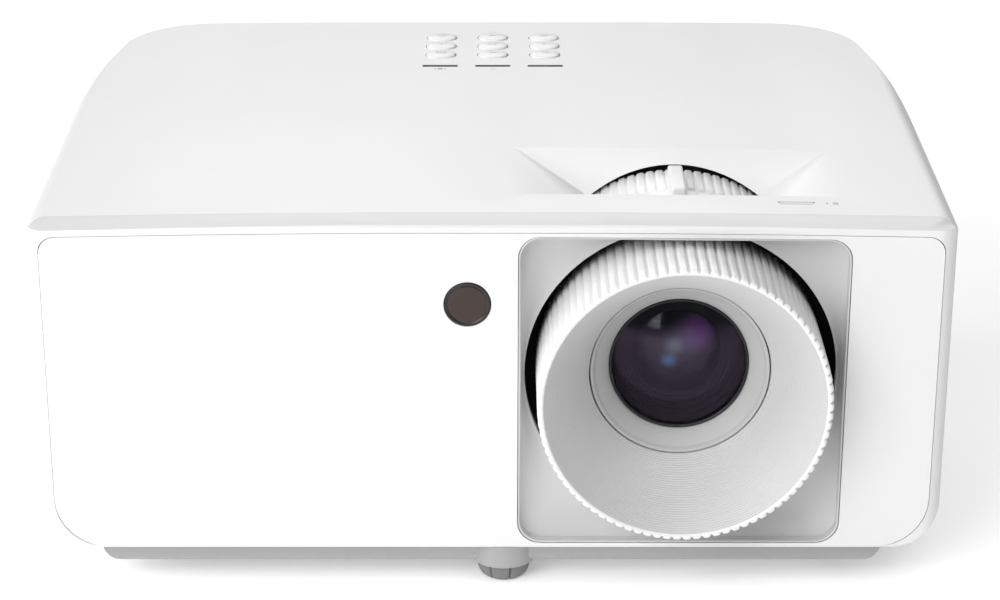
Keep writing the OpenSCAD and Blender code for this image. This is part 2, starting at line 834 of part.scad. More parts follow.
module relay_optics() {
    color("lightsteelblue") {
        block([engine_x0 + 4, wheel_y - 4, lens_z - 4], [engine_x0 + 26, wheel_y + 4, lens_z + 4]);
        rod_x(engine_x0 + 27, engine_x0 + 31, wheel_y, lens_z, 12);
        block([lens_x - 14, 16, lens_z - 12], [lens_x + 14, 40, lens_z + 12]);
    }
}

module dmd_board() {
    color("seagreen") block([lens_x - 32, engine_y1 + 2, lens_z - 30], [lens_x + 32, engine_y1 + 2 + board_t, lens_z + 30]);
    color("black") block([lens_x - 14, engine_y1 - 2, lens_z - 11], [lens_x + 14, engine_y1 + 2, lens_z + 11]);
}

module dmd_heatsink() {
    y = engine_y1 + 2 + board_t;
    color("silver") {
        block([lens_x - 20, y, lens_z - 20], [lens_x + 20, y + 2, lens_z + 20]);
        for (k = [0:8]) block([lens_x - 20 + k * 4.75, y + 1, lens_z - 20], [lens_x - 18 + k * 4.75, y + 8, lens_z + 20]);
    }
}

module laser_module() {
    color("darkgoldenrod") block([-58, -8, 34], [-22, 38, 100]);
    color("lightskyblue") for (a = [0:2], b = [0:2])
        rod_x(-22, -19, wheel_y - 9 + a * 9, lens_z - 9 + b * 9, 3.2);
    color("dimgray") for (y = [-2, 32]) translate([-40, y, base_z + wall]) cylinder(h = 34 - base_z - wall, r = 4);
}

pipe_x = -96;
pipe_bend = 8;
pipe_r = 3;
pipe_zs = [50, 68, 86];
sink_y0 = -14;
sink_y1 = 44;

// heat pipes run through the fins and bend back to the base plate
module pipe_run(z, r) {
    rod_y(sink_y0 - 4, sink_y1 + 4, pipe_x, z, r);
    for (s = [-1, 1]) {
        y = s < 0 ? sink_y0 - 4 : sink_y1 + 4;
        translate([pipe_x + pipe_bend, y, z]) rotate([0, 0, s < 0 ? 180 : 90])
            rotate_extrude(angle = 90) translate([pipe_bend, 0]) circle(r);
        rod_x(pipe_x + pipe_bend, -61, y + s * pipe_bend, z, r);
    }
}

module heat_pipes() {
    color("peru") for (z = pipe_zs) pipe_run(z, pipe_r);
}

module laser_heatsink() {
    step = (sink_y1 - sink_y0 - 1.2) / (laser_fins - 1);
    color("silver") difference() {
        union() {
            block([-62, sink_y0 - 18, 36], [-58, sink_y1 + 18, 98]);
            for (k = [0:laser_fins - 1])
                block([-112, sink_y0 + k * step, 36], [-61, sink_y0 + k * step + 1.2, 98]);
        }
        for (z = pipe_zs) {
            rod_y(sink_y0 - 5, sink_y1 + 5, pipe_x, z, pipe_r + run);
            for (y = [sink_y0 - 4 - pipe_bend, sink_y1 + 4 + pipe_bend]) rod_x(-70, -60.9, y, z, pipe_r + run);
        }
    }
}

module wheel_motor() {
    color("dimgray") {
        rod_x(-10.5, engine_x0, wheel_y, wheel_z, 11);
        rod_x(wheel_x - 2, -10, wheel_y, wheel_z, 1.5);
    }
}

module phosphor_wheel() {
    color("khaki") difference() {
        union() {
            rod_x(wheel_x - 0.5, wheel_x + 0.7, wheel_y, wheel_z, wheel_r);
            rod_x(wheel_x - 1.5, wheel_x + 2.5, wheel_y, wheel_z, 8);
        }
        rod_x(wheel_x - 3, wheel_x + 4, wheel_y, wheel_z, 1.5 + run);
    }
}

module speaker() {
    y = -50;
    z = 72;
    color("dimgray") {
        rod_x(-129, -124, y, z, 20);
        rod_x(-124, -114, y, z, 14);
        rod_x(-114, -106, y, z, 11);
    }
}

// ---------- fans ----------

module fan_frame(x) {
    hub_r = 12;
    s = fan_size / 2;
    color("black") difference() {
        along_x(x, x + fan_t) translate([fan_y, fan_z]) polygon(rounded(-s, s, -s, s, 4, 4, 3));
        rod_x(x - 1, x + fan_t + 1, fan_y, fan_z, s - 2);
    }
    color("black") {
        rod_x(x, x + 2, fan_y, fan_z, hub_r);
        rod_x(x + 2, x + fan_t - 3, fan_y, fan_z, 1.5);
        for (a = [0:120:240]) translate([x, fan_y, fan_z]) rotate([a + 30, 0, 0]) block([0, -1.5, 0], [2, 1.5, s - 1]);
    }
}

module fan_rotor(x) {
    tip_r = fan_size / 2 - 3;
    color("dimgray") difference() {
        union() {
            rod_x(x + 3, x + fan_t - 1, fan_y, fan_z, 13);
            intersection() {
                rod_x(x + 3, x + fan_t - 1, fan_y, fan_z, tip_r);
                for (k = [0:fan_blades - 1])
                    translate([x + fan_t / 2 + 1, fan_y, fan_z]) rotate([k * 360 / fan_blades, 0, 0]) rotate([0, 0, 52])
                        block([-0.8, -9, 11], [0.8, 9, tip_r + 1]);
            }
        }
        rod_x(x + 2, x + fan_t - 2.5, fan_y, fan_z, 1.5 + run);
    }
}

module intake_fan_frame() { fan_frame(intake_fan_x); }
module intake_fan_rotor() { fan_rotor(intake_fan_x); }
module exhaust_fan_frame() { fan_frame(exhaust_fan_x); }
module exhaust_fan_rotor() { fan_rotor(exhaust_fan_x); }

// ---------- feet ----------

module foot_stem(x, y) {
    color("silver") translate([x, y, stem_z0]) cylinder(h = stem_z1 - stem_z0, r = stem_r);
}

module foot_pad(x, y, r) {
    grooves = 8;
    color("gray") translate([x, y, 0]) difference() {
        rotate_extrude() polygon([[0, 0], [r - 2.4, 0], [r - 1.2, 0.8], [r - 0.7, 2], [r, pad_top_z], [0, pad_top_z]]);
        translate([0, 0, stem_z0 - 0.05]) cylinder(h = 10, r = stem_r + run);
        for (k = [0:grooves - 1]) rotate([0, 0, k * 360 / grooves + 15])
            translate([r + 0.2, 0, -1]) cylinder(h = pad_top_z - 0.6, r = 0.7);
    }
}

module front_foot_stem() { foot_stem(front_foot_x, foot_front_y); }
module front_foot_pad() { foot_pad(front_foot_x, foot_front_y, front_foot_r); }
module rear_foot_left_stem() { foot_stem(-foot_rear_x, foot_rear_y); }
module rear_foot_left_pad() { foot_pad(-foot_rear_x, foot_rear_y, rear_foot_r); }
module rear_foot_right_stem() { foot_stem(foot_rear_x, foot_rear_y); }
module rear_foot_right_pad() { foot_pad(foot_rear_x, foot_rear_y, rear_foot_r); }

// ---------- buttons ----------

// one button by its number, counted from the rear left of the keypad
module button(k) {
    column = k % 3 - 1;
    row = 1 - floor(k / 3);
    color("white") translate([key_mid_x + column * key_pitch_x, key_mid_y + row * key_pitch_y, 0]) {
        key_hole(0, inner_top_z - 1, cover_z + key_proud - 0.4);
        key_hole(-0.5, cover_z, cover_z + key_proud);
        key_hole(key_flange, inner_top_z - 2.4, inner_top_z - 0.3);
        translate([0, 0, 112.4]) cylinder(h = 3, r = 2);
    }
}

bottom_case();
top_cover();
front_bezel();
lens_surround();
lens_shroud();
rear_panel();
intake_grille();
exhaust_grille();
ir_window();
indicator_light_pipes();
front_stop_pads();
mount_inserts();
case_screws();
keypad_board();
ir_receiver_board();
main_board();
hdmi_and_usb_ports();
vga_port();
serial_port();
audio_jacks();
port_jack_nuts();
ac_inlet();
power_board();
power_components();
engine_housing();
relay_optics();
laser_module();
laser_heatsink();
heat_pipes();
dmd_board();
dmd_heatsink();
wheel_motor();
phosphor_wheel();
speaker();
intake_fan_frame();
intake_fan_rotor();
exhaust_fan_frame();
exhaust_fan_rotor();
lens_barrel();
rear_lens_group();
zoom_cell();
zoom_ring();
front_lens_cell();
front_lens();
focus_ring();
front_foot_stem();
front_foot_pad();
rear_foot_left_stem();
rear_foot_left_pad();
rear_foot_right_stem();
rear_foot_right_pad();
for (k = [0:8]) button(k);
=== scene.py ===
"""A white home projector: surfaces, lens, rings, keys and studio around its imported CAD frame.

Everything is in the frame of the CAD: +X right, -Y the way the lens looks, +Z up. Outlines are
written in millimetres, and become metres when their mesh is made.
"""
import json
import math

import bmesh
import bpy
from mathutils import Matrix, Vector

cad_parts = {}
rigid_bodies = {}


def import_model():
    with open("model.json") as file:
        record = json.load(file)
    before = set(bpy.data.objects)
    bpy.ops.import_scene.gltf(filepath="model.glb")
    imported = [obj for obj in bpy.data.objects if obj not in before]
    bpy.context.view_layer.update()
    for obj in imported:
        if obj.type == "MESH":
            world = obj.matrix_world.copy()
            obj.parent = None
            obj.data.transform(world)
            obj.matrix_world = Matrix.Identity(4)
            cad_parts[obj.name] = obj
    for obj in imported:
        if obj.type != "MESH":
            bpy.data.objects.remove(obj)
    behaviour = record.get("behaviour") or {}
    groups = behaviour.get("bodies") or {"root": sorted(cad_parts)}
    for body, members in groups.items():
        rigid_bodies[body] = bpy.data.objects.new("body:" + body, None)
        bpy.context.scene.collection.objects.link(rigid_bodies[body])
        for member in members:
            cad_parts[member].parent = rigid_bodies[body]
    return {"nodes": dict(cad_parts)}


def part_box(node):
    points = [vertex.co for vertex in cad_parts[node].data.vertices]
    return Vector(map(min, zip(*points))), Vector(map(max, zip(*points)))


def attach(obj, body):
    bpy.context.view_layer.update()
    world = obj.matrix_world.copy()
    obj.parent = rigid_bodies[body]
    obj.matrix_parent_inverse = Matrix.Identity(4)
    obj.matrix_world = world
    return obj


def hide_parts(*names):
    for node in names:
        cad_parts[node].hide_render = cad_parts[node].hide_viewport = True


for leftover in list(bpy.data.objects):
    bpy.data.objects.remove(leftover)
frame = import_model()
nodes = frame["nodes"]
bpy.context.view_layer.update()

MM = 0.001
TAU = 2 * math.pi


def middle(node):
    """Centre of a CAD node's box, in metres."""
    low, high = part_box(node)
    return (low + high) / 2


def box_mm(node):
    """Low and high corner of a CAD node's box, in millimetres."""
    low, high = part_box(node)
    return low / MM, high / MM


LENS = middle("focus_ring")           # its x and z are the lens axis
AXIS_X, AXIS_Z = LENS.x / MM, LENS.z / MM
INNER_GLASS_Y = -0.069                # the pole of the second glass


# ---------- materials ----------

def shader(name):
    """A new material, with its tree and its Principled shader."""
    material = bpy.data.materials.new(name)
    material.use_nodes = True
    tree = material.node_tree
    return material, tree, tree.nodes["Principled BSDF"]


def add(tree, kind, **values):
    """A node with attributes, and with the sockets named by their labels."""
    node = tree.nodes.new(kind)
    for key, value in values.items():
        if key in node.inputs:
            node.inputs[key].default_value = value
        else:
            setattr(node, key, value)
    return node


def object_noise(tree, scale, detail=2.0, roughness=0.5, stretch=(1, 1, 1)):
    """Noise in object space. scale is in cycles a metre."""
    place = add(tree, "ShaderNodeTexCoord")
    mapping = add(tree, "ShaderNodeMapping")
    mapping.inputs["Scale"].default_value = stretch
    tree.links.new(place.outputs["Object"], mapping.inputs["Vector"])
    noise = add(tree, "ShaderNodeTexNoise", Scale=scale, Detail=detail, Roughness=roughness)
    tree.links.new(mapping.outputs["Vector"], noise.inputs["Vector"])
    return noise.outputs["Fac"]


def spread(tree, value, low, high):
    """Maps noise, which stays near its middle, onto a range."""
    ramp = add(tree, "ShaderNodeMapRange")
    for label, number in (("From Min", 0.3), ("From Max", 0.7), ("To Min", low), ("To Max", high)):
        ramp.inputs[label].default_value = number
    tree.links.new(value, ramp.inputs["Value"])
    return ramp.outputs["Result"]


def tint(tree, factor, first, second):
    """Blends two colours by a factor."""
    mix = add(tree, "ShaderNodeMix", data_type="RGBA")
    mix.inputs[6].default_value = (*first, 1)
    mix.inputs[7].default_value = (*second, 1)
    tree.links.new(factor, mix.inputs[0])
    return mix.outputs[2]


def relief(tree, heights):
    """Chains bumps: each height is (socket, strength, distance in metres)."""
    normal = None
    for height, strength, distance in heights:
        bump = add(tree, "ShaderNodeBump", Strength=strength, Distance=distance)
        tree.links.new(height, bump.inputs["Height"])
        if normal:
            tree.links.new(normal, bump.inputs["Normal"])
        normal = bump.outputs["Normal"]
    return normal


SLOW_SCALE = 22.0          # cycles a metre of the slow changes of shade
GLOSS_SPREAD = 0.05        # how far the roughness strays either way
SLOW_BUMP = (0.05, 0.0004) # strength, and distance in metres, of the slow unevenness
GRAIN_STRENGTH = 0.35      # strength of the fine grain's bump


def surface(name, colour, rough, vary=0.03, grain=2600.0, depth=0.02, metal=0.0, level=0.5,
            stretch=(1, 1, 1)):
    """A moulded, cast or machined surface: a fine grain over slow changes of shade and gloss.

    grain is in cycles a metre and depth in millimetres; vary is how much darker it gets.
    """
    material, tree, base = shader(name)
    slow = object_noise(tree, SLOW_SCALE, 3.0)
    fine = object_noise(tree, grain, 2.0, 0.6, stretch)
    darker = tuple(c * (1 - vary) for c in colour)
    tree.links.new(tint(tree, spread(tree, slow, 0, 1), darker, colour), base.inputs["Base Color"])
    gloss = spread(tree, fine, rough - GLOSS_SPREAD, rough + GLOSS_SPREAD)
    tree.links.new(gloss, base.inputs["Roughness"])
    normal = relief(tree, [(slow, *SLOW_BUMP), (fine, GRAIN_STRENGTH, depth * MM)])
    tree.links.new(normal, base.inputs["Normal"])
    base.inputs["Metallic"].default_value = metal
    base.inputs["Specular IOR Level"].default_value = level
    return material


def coated_glass(name, colour, sheen, level, rough=0.03):
    """Dark coated glass, seen as its reflections over what is nearly black."""
    material, tree, base = shader(name)
    smudge = object_noise(tree, 60.0, 4.0, 0.6)
    tree.links.new(spread(tree, smudge, rough * 0.6, rough * 1.6), base.inputs["Roughness"])
    tree.links.new(tint(tree, smudge, colour, tuple(c * 1.25 for c in colour)),
                   base.inputs["Base Color"])
    base.inputs["Specular IOR Level"].default_value = level
    base.inputs["Specular Tint"].default_value = (*sheen, 1)
    return material


def clear_glass(name, sheen, level, rough=0.01):
    """Thin clear glass: what is behind shows through, under a tinted reflection."""
    material, tree, base = shader(name)
    smudge = object_noise(tree, 60.0, 4.0, 0.6)
    tree.links.new(spread(tree, smudge, rough * 0.5, rough * 2), base.inputs["Roughness"])
    base.inputs["Base Color"].default_value = (0.92, 0.94, 1.0, 1)
    base.inputs["Transmission Weight"].default_value = 1.0
    base.inputs["IOR"].default_value = 1.25
    base.inputs["Specular IOR Level"].default_value = level
    base.inputs["Specular Tint"].default_value = (*sheen, 1)
    return material


def glass_with_painted_reflections(name, painted_reflections):
    """Near-black inner glass with painted reflections: soft violet and blue glints of its coatings,
    painted into its colour.

    Each painted reflection is (x and z from the lens axis in metres, radius, colour), fixed to the
    glass; it does not move with the lights.
    """
    material, tree, base = shader(name)
    place = add(tree, "ShaderNodeTexCoord")
    smudge = object_noise(tree, 180.0, 3.0, 0.6)
    colour = tint(tree, smudge, (0.004, 0.004, 0.005), (0.008, 0.008, 0.009))
    # Each painted reflection is added to the glass's colour.
    for centre, radius, shade in painted_reflections:
        apart = add(tree, "ShaderNodeVectorMath", operation="DISTANCE")
        tree.links.new(place.outputs["Object"], apart.inputs[0])
        apart.inputs[1].default_value = (
            LENS.x + centre[0], INNER_GLASS_Y, LENS.z + centre[1])
        near = add(tree, "ShaderNodeMapRange", interpolation_type="SMOOTHSTEP")
        near.inputs["From Min"].default_value = radius
        near.inputs["From Max"].default_value = 0.0
        tree.links.new(apart.outputs["Value"], near.inputs["Value"])
        mix = add(tree, "ShaderNodeMix", data_type="RGBA", blend_type="ADD")
        tree.links.new(near.outputs["Result"], mix.inputs[0])
        tree.links.new(colour, mix.inputs[6])
        mix.inputs[7].default_value = (*shade, 1)
        colour = mix.outputs[2]
    tree.links.new(colour, base.inputs["Base Color"])
    tree.links.new(spread(tree, smudge, 0.10, 0.20), base.inputs["Roughness"])
    base.inputs["Specular IOR Level"].default_value = 0.2
    return material


def grey(shade):
    """A neutral colour."""
    return (shade, shade, shade)


SHELL = surface("shell_white", grey(0.80), 0.42, 0.015)
RING = surface("ring_white", grey(0.82), 0.38, 0.02)
# Painted shade: the lens surround is the front's white plastic, painted grey for the shade in its
# recess.
SURROUND_PAINTED_SHADE = surface("surround_painted_shade", grey(0.60), 0.40, 0.03)
# Painted shade: the base plate under the housing is white plastic, painted grey for the shadow it
# sits in.
BASE_PAINTED_SHADE = surface("base_painted_shade", grey(0.37), 0.5, 0.04)
# Painted shade: the cover's sloping front strip is its white plastic, painted a darker grey for the
# shade of its slope.
STRIP_PAINTED_SHADE = surface("strip_painted_shade", grey(0.67), 0.42, 0.015)
# Painted shade: the focus ring's inner cone is its white plastic, painted darker for the shade in
# the hollow.
CONE_PAINTED_SHADE = surface("cone_painted_shade", grey(0.60), 0.42, 0.02)
DARK = surface("charcoal_plastic", grey(0.10), 0.5, 0.15)
BLACK = surface("black_plastic", (0.012, 0.012, 0.013), 0.45, 0.3)
MATT_BLACK = surface("baffle_black", grey(0.006), 0.8, 0.3, level=0.2)
FOOT = surface("foot_rubber", grey(0.21), 0.6, 0.15, grain=1500.0, depth=0.05)
WINDOW = coated_glass("window_plastic", (0.030, 0.018, 0.017), (1, 0.9, 0.85), 0.45, 0.12)
BAR = surface("indicator_smoke", grey(0.008), 0.5, 0.2, level=0.25)
PRINT = surface("icon_print", (0.40, 0.40, 0.41), 0.6, 0.1)
SOFT_PRINT = surface("icon_print_pale", (0.58, 0.58, 0.59), 0.6, 0.06)
ANNULUS = surface("cell_grey", grey(0.50), 0.5, 0.04)
BOARD = surface("board_green", (0.02, 0.11, 0.05), 0.35, 0.25, grain=400.0, depth=0.05)
ALLOY = surface("machined_alloy", (0.62, 0.63, 0.65), 0.32, 0.08, 900.0, 0.04, 1.0,
                stretch=(1, 1, 8))
CAST = surface("cast_alloy", (0.20, 0.20, 0.21), 0.5, 0.15, 700.0, 0.1, 0.9)
STEEL = surface("plated_steel", (0.58, 0.58, 0.60), 0.28, 0.1, 1200.0, 0.03, 1.0,
                stretch=(6, 1, 1))
BRASS = surface("turned_brass", (0.70, 0.50, 0.20), 0.3, 0.12, 1500.0, 0.03, 1.0)
COPPER = surface("drawn_copper", (0.75, 0.36, 0.22), 0.3, 0.12, 900.0, 0.03, 1.0)
BLUE = surface("port_blue", (0.02, 0.06, 0.30), 0.45, 0.12)
PHOSPHOR = surface("phosphor_yellow", (0.70, 0.62, 0.10), 0.7, 0.15, 800.0, 0.06)
OPTIC = coated_glass("relay_glass", (0.05, 0.06, 0.10), (0.7, 0.8, 1), 0.5)
PANEL = surface("panel_grey", (0.42, 0.42, 0.43), 0.5, 0.04)


# ---------- meshes ----------

TOOTH_SHARPNESS = 5    # higher for narrower gaps between a ring's teeth
WELD = 0.000002        # metres within which a shell's vertices are one
FLAT_ANGLE = 0.003     # radians within which its faces are one
SHELL_ANGLE = 30       # degrees from which its edges stay crisp

def mesh_piece(name, points, faces, material, smooth=True):
    """A mesh in millimetres, made into an object in metres."""
    mesh = bpy.data.meshes.new(name)
    mesh.from_pydata([Vector(p) * MM for p in points], [], faces)
    if smooth:
        mesh.shade_smooth()
    mesh.materials.append(material)
    piece = bpy.data.objects.new(name, mesh)
    bpy.context.scene.collection.objects.link(piece)
    return piece


def tidy_normals(piece, angle):
    """Turns every face outward and keeps edges sharper than the angle crisp."""
    form = bmesh.new()
    form.from_mesh(piece.data)
    bmesh.ops.recalc_face_normals(form, faces=form.faces)
    form.to_mesh(piece.data)
    form.free()
    piece.data.set_sharp_from_angle(angle=math.radians(angle))


def loft(name, rings, material, close=False, low_cap=False, high_cap=False, angle=40):
    """Skins rings of equal count. close joins the last ring to the first."""
    count = len(rings[0])
    points = [p for ring in rings for p in ring]
    faces = []
    pairs = list(zip(range(len(rings) - 1), range(1, len(rings))))
    if close:
        pairs.append((len(rings) - 1, 0))
    for a, b in pairs:
        for k in range(count):
            n = (k + 1) % count
            faces.append((a * count + k, a * count + n, b * count + n, b * count + k))
    if low_cap:
        faces.append(tuple(range(count))[::-1])
    if high_cap:
        faces.append(tuple(range((len(rings) - 1) * count, len(rings) * count)))
    piece = mesh_piece(name, points, faces, material)
    tidy_normals(piece, angle)
    return piece


def on_axis(radius, turn, y):
    """A point at a radius and a turn from the top, round the lens axis."""
    return (AXIS_X + radius * math.sin(turn), y, AXIS_Z + radius * math.cos(turn))


def groove(turn, count, sharpness):
    """1 in the middle of each of the grooves round a grip, and near 0 between them."""
    return (0.5 + 0.5 * math.cos(count * turn)) ** sharpness


def lens_ring(radius, y, count, teeth=0, depth=0.0):
    """One ring round the lens axis, scalloped by its teeth."""
    ring = []
    for k in range(count):
        turn = TAU * k / count
        ring.append(on_axis(radius - depth * groove(turn, teeth, TOOTH_SHARPNESS), turn, y))
    return ring


def turned(name, outline, material, count=192, angle=40, close=True):
    """Turns an outline of (radius, y) round the lens axis."""
    rings = [lens_ring(r, y, count) for r, y in outline]
    return loft(name, rings, material, close, angle=angle)


def outfit(piece, body, slot, *replaced):
    """Puts a finished piece on its body, in place of its CAD nodes; its slot is not used."""
    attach(piece, body)
    if replaced:
        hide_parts(*replaced)
    return piece


def refined(node, material, body, slot):
    """A CAD node as one clean skin, smooth where it curves and crisp along its edges."""
    mesh = nodes[node].data.copy()
    for extra in ("custom_normal", "sharp_edge", "sharp_face"):
        if extra in mesh.attributes:
            mesh.attributes.remove(mesh.attributes[extra])
    form = bmesh.new()
    form.from_mesh(mesh)
    bmesh.ops.remove_doubles(form, verts=form.verts, dist=WELD)
    bmesh.ops.dissolve_limit(form, angle_limit=FLAT_ANGLE, verts=form.verts, edges=form.edges)
    form.to_mesh(mesh)
    form.free()
    mesh.materials.clear()
    mesh.materials.append(material)
    mesh.shade_smooth()
    mesh.set_sharp_from_angle(angle=math.radians(SHELL_ANGLE))
    piece = bpy.data.objects.new(node + "_finish", mesh)
    bpy.context.scene.collection.objects.link(piece)
    weighted = piece.modifiers.new("even_shading", "WEIGHTED_NORMAL")
    weighted.keep_sharp = True
    return outfit(piece, body, slot, node)


def paint(material, *names):
    """Gives CAD nodes that keep their own mesh a finished material."""
    for name in names:
        mesh = nodes[name].data
        mesh.materials.clear()
        mesh.materials.append(material)


def repaint(piece, material, chosen):
    """Gives the faces that pass a test another material: chosen(centre in millimetres, normal)."""
    piece.data.materials.append(material)
    number = len(piece.data.materials) - 1
    for face in piece.data.polygons:
        if chosen(face.center / MM, face.normal):
            face.material_index = number


# ---------- housing ----------

STRIP_Y = -83.0       # the top slopes down ahead of here
STRIP_Z = 115.0       # and all of that slope is above here
BASE_TOP = 12.4       # the base plate under the housing ends here

shells = {}
for name, material, slot in (
        ("top_cover", SHELL, "white_plastic"),
        ("bottom_case", SHELL, "white_plastic"),
        ("front_bezel", SHELL, "white_plastic"),
        ("rear_panel", PANEL, "grey_plastic"),
        ("intake_grille", SHELL, "white_plastic"),
        ("exhaust_grille", SHELL, "white_plastic")):
    shells[name] = refined(name, material, "housing", slot)
# The up-facing faces of the sloping front strip get the painted shade.
repaint(shells["top_cover"], STRIP_PAINTED_SHADE,
        lambda c, n: c.y < STRIP_Y and c.z > STRIP_Z and n.z > 0.9)
# The faces of the base plate get the painted shade.
repaint(shells["bottom_case"], BASE_PAINTED_SHADE, lambda c, n: c.z < BASE_TOP)


def rounded_square(low, high, radius_low, radius_high, steps=8):
    """Outline of a rounded rectangle in x and z, with its own radius low down and high up."""
    corners = (
        (low[0] + radius_low, low[1] + radius_low, radius_low, 180),
        (high[0] - radius_low, low[1] + radius_low, radius_low, 270),
        (high[0] - radius_high, high[1] - radius_high, radius_high, 0),
        (low[0] + radius_high, high[1] - radius_high, radius_high, 90))
    outline = []
    for x, z, r, start in corners:
        for k in range(steps + 1):
            a = math.radians(start + 90 * k / steps)
            outline.append((x + r * math.cos(a), z + r * math.sin(a)))
    return outline


HOLE_R = 46.6          # round hole that the rings stand in
HOLE_Y = -83.0         # where the dish's walls have turned into the hole
CROWN_R = 6000.0       # radius of the cover's sideways crown
LIP = 0.6              # width of the surround's lip


def crown_drop(x):
    """How far the cover has dropped at x from its middle."""
    return CROWN_R - math.sqrt(CROWN_R ** 2 - x ** 2)


def ray_to_outline(outline, turn):
    """Distance from the lens axis to an outline along one direction."""
    axis = Vector((AXIS_X, AXIS_Z))
    way = Vector((math.sin(turn), math.cos(turn)))
    best = None
    for a, b in zip(outline, outline[1:] + outline[:1]):
        side = Vector(b) - Vector(a)
        across = way.x * side.y - way.y * side.x
        if abs(across) < 1e-9:
            continue
        gap = Vector(a) - axis
        along = (gap.x * side.y - gap.y * side.x) / across
        part = (gap.x * way.y - gap.y * way.x) / across
        if along > 0 and -1e-6 <= part <= 1 + 1e-6 and (best is None or along < best):
            best = along
    return best


def lens_surround():
    """The square dish behind the ring: a crisp lip, upright walls and corners that sink in."""
    low, high = box_mm("lens_surround")
    front, back = low.y, high.y
    square = rounded_square((low.x, low.z), (high.x, high.z + 0.1), 7, 6.5)
    outline = [(x, z - (crown_drop(x) if z > AXIS_Z else 0)) for x, z in square]
    count, wall_steps = 360, 10
    spokes = []
    for k in range(count):
        turn = TAU * k / count
        edge = ray_to_outline(outline, turn)
        hole = min(HOLE_R, edge - 0.15)
        lip = edge - LIP
        spoke = [(edge, back), (edge, front + 0.2), (edge - 0.2, front), (lip, front + 0.15)]
        reach = max(lip - hole, 0)
        for step in range(wall_steps):
            t = step / (wall_steps - 1)
            sunk = 0.30 + 0.70 * math.sin(t * math.pi / 2)
            spoke.append((lip - reach * t - 0.12 * min(reach, 1) * (1 - t),
                          front + 0.9 + (HOLE_Y - front - 0.9) * sunk))
        spoke.append((hole, back))
        spokes.append([on_axis(r, turn, y) for r, y in spoke])
    # The dish is given the grey of painted shade.
    piece = loft("lens_surround_finish", list(zip(*spokes)), SURROUND_PAINTED_SHADE, close=True, angle=38)
    outfit(piece, "housing", "grey_plastic", "lens_surround")


lens_surround()


# ---------- infrared window ----------

def ir_window():
    """A dark disc with a low dome, in a black rim that a flange holds from behind."""
    low, high = box_mm("ir_window")
    centre = (low + high) / 2
    front = low.y
    count, rim_inner = 96, 6.2
    outline = [(8.0, high.y), (8.0, high.y - 1.1), (6.9, high.y - 1.2), (6.9, front + 0.35),
               (6.75, front + 0.1), (6.5, front), (6.0, front + 0.12), (5.8, front + 0.3)]
    dome = [(5.8 * math.cos(a * math.pi / 16), front + 0.3 - 0.25 * math.sin(a * math.pi / 16))
            for a in range(1, 8)]
    rings = []
    for r, y in outline + dome + [(0.02, front + 0.05)]:
        rings.append([(centre.x + r * math.sin(TAU * k / count), y,
                       centre.z + r * math.cos(TAU * k / count)) for k in range(count)])
    piece = loft("ir_window_finish", rings, WINDOW, low_cap=True, high_cap=True, angle=30)
    repaint(piece, BLACK,
            lambda c, n: math.hypot(c.x - centre.x, c.z - centre.z) > rim_inner)
    outfit(piece, "housing", "window_plastic", "ir_window")


ir_window()


# ---------- focus ring and lens ----------

def focus_ring():
    """The big ring: knurled outside, and inside a cone of fine turned steps down to the throat."""
    low, high = box_mm("focus_ring")
    teeth, depth = 90, 0.95
    count = teeth * 10
    r = high.x - AXIS_X
    front, back, sleeve_r, sleeve_y = low.y, -70.8, 30.1, -79.3
    rings = []
    for radius, y, deep in (
            (sleeve_r, -63.0, 0), (32.6, -63.0, 0), (32.6, sleeve_y, 0), (r - 3.2, -95.3, 0),
            (r - 3.2, back, 0), (r - 1.3, back, 0), (r - 0.3, back, 0.5), (r, back - 0.4, 1),
            (r, -82, 1), (r, -95, 1), (r, front + 0.9, 1), (r - 0.12, front + 0.4, 1),
            (r - 0.45, front + 0.08, 0.8), (r - 0.9, front, 0.45), (r - 1.5, front, 0)):
        rings.append(lens_ring(radius, y, count, teeth, depth * deep))
    rim_r, throat_r, throat_y = r - 1.9, 27.3, -82.5
    steps = 34
    for k in range(steps):
        for part, dip in ((0.0, 0.0), (0.15, 0.04), (0.80, 0.07)):
            t = (k + part) / steps
            radius = rim_r + (throat_r - rim_r) * t
            y = front + 0.35 + (throat_y - front - 0.35) * t
            rings.append(lens_ring(radius + dip, y + dip, count))
    rings += [lens_ring(throat_r, throat_y, count), lens_ring(throat_r, sleeve_y, count),
              lens_ring(sleeve_r, sleeve_y, count)]
    piece = loft("focus_ring_finish", rings, RING, close=True, angle=50)
    # The inner cone's faces get the painted shade.
    repaint(piece, CONE_PAINTED_SHADE,
            lambda c, n: n.y < -0.2 and math.hypot(c.x - AXIS_X, c.z - AXIS_Z) < rim_r - 0.1)
    outfit(piece, "focus_ring_body", "white_plastic", "focus_ring")


def front_cell():
    """The grey collar round the glass, with its step and its dark inner edge."""
    outline = [(25.9, -58), (25.9, -78), (26.9, -80), (26.9, -81.5), (26.7, -81.7),
               (26.3, -81.7), (25.9, -81.4), (25.7, -80.9), (25.0, -80.3), (23.5, -79.0),
               (22.0, -77.4), (21.3, -76.4), (21.05, -75.9), (21.05, -70), (22.5, -70), (22.5, -58)]
    collar = turned("front_cell_collar", outline, ANNULUS, 240)
    outfit(collar, "front_cell_body", "cast_metal", "front_lens_cell")
    lip = [(21.04, -76.0), (20.9, -76.45), (20.6, -76.5), (20.2, -76.1), (20.2, -72), (21.04, -72)]
    seal = turned("front_cell_seal", lip, BLACK, 240)
    outfit(seal, "front_cell_body", "cast_metal")


def spherical(r, y, bulge, steps=16):
    """Outline of a spherical cap, from its rim at y to its pole."""
    ball = (r * r + bulge * bulge) / (2 * bulge)
    outline = []
    for k in range(steps + 1):
        x = r * (1 - k / steps)
        outline.append((max(x, POLE_R), y - (math.sqrt(ball * ball - x * x) - (ball - bulge))))
    return outline


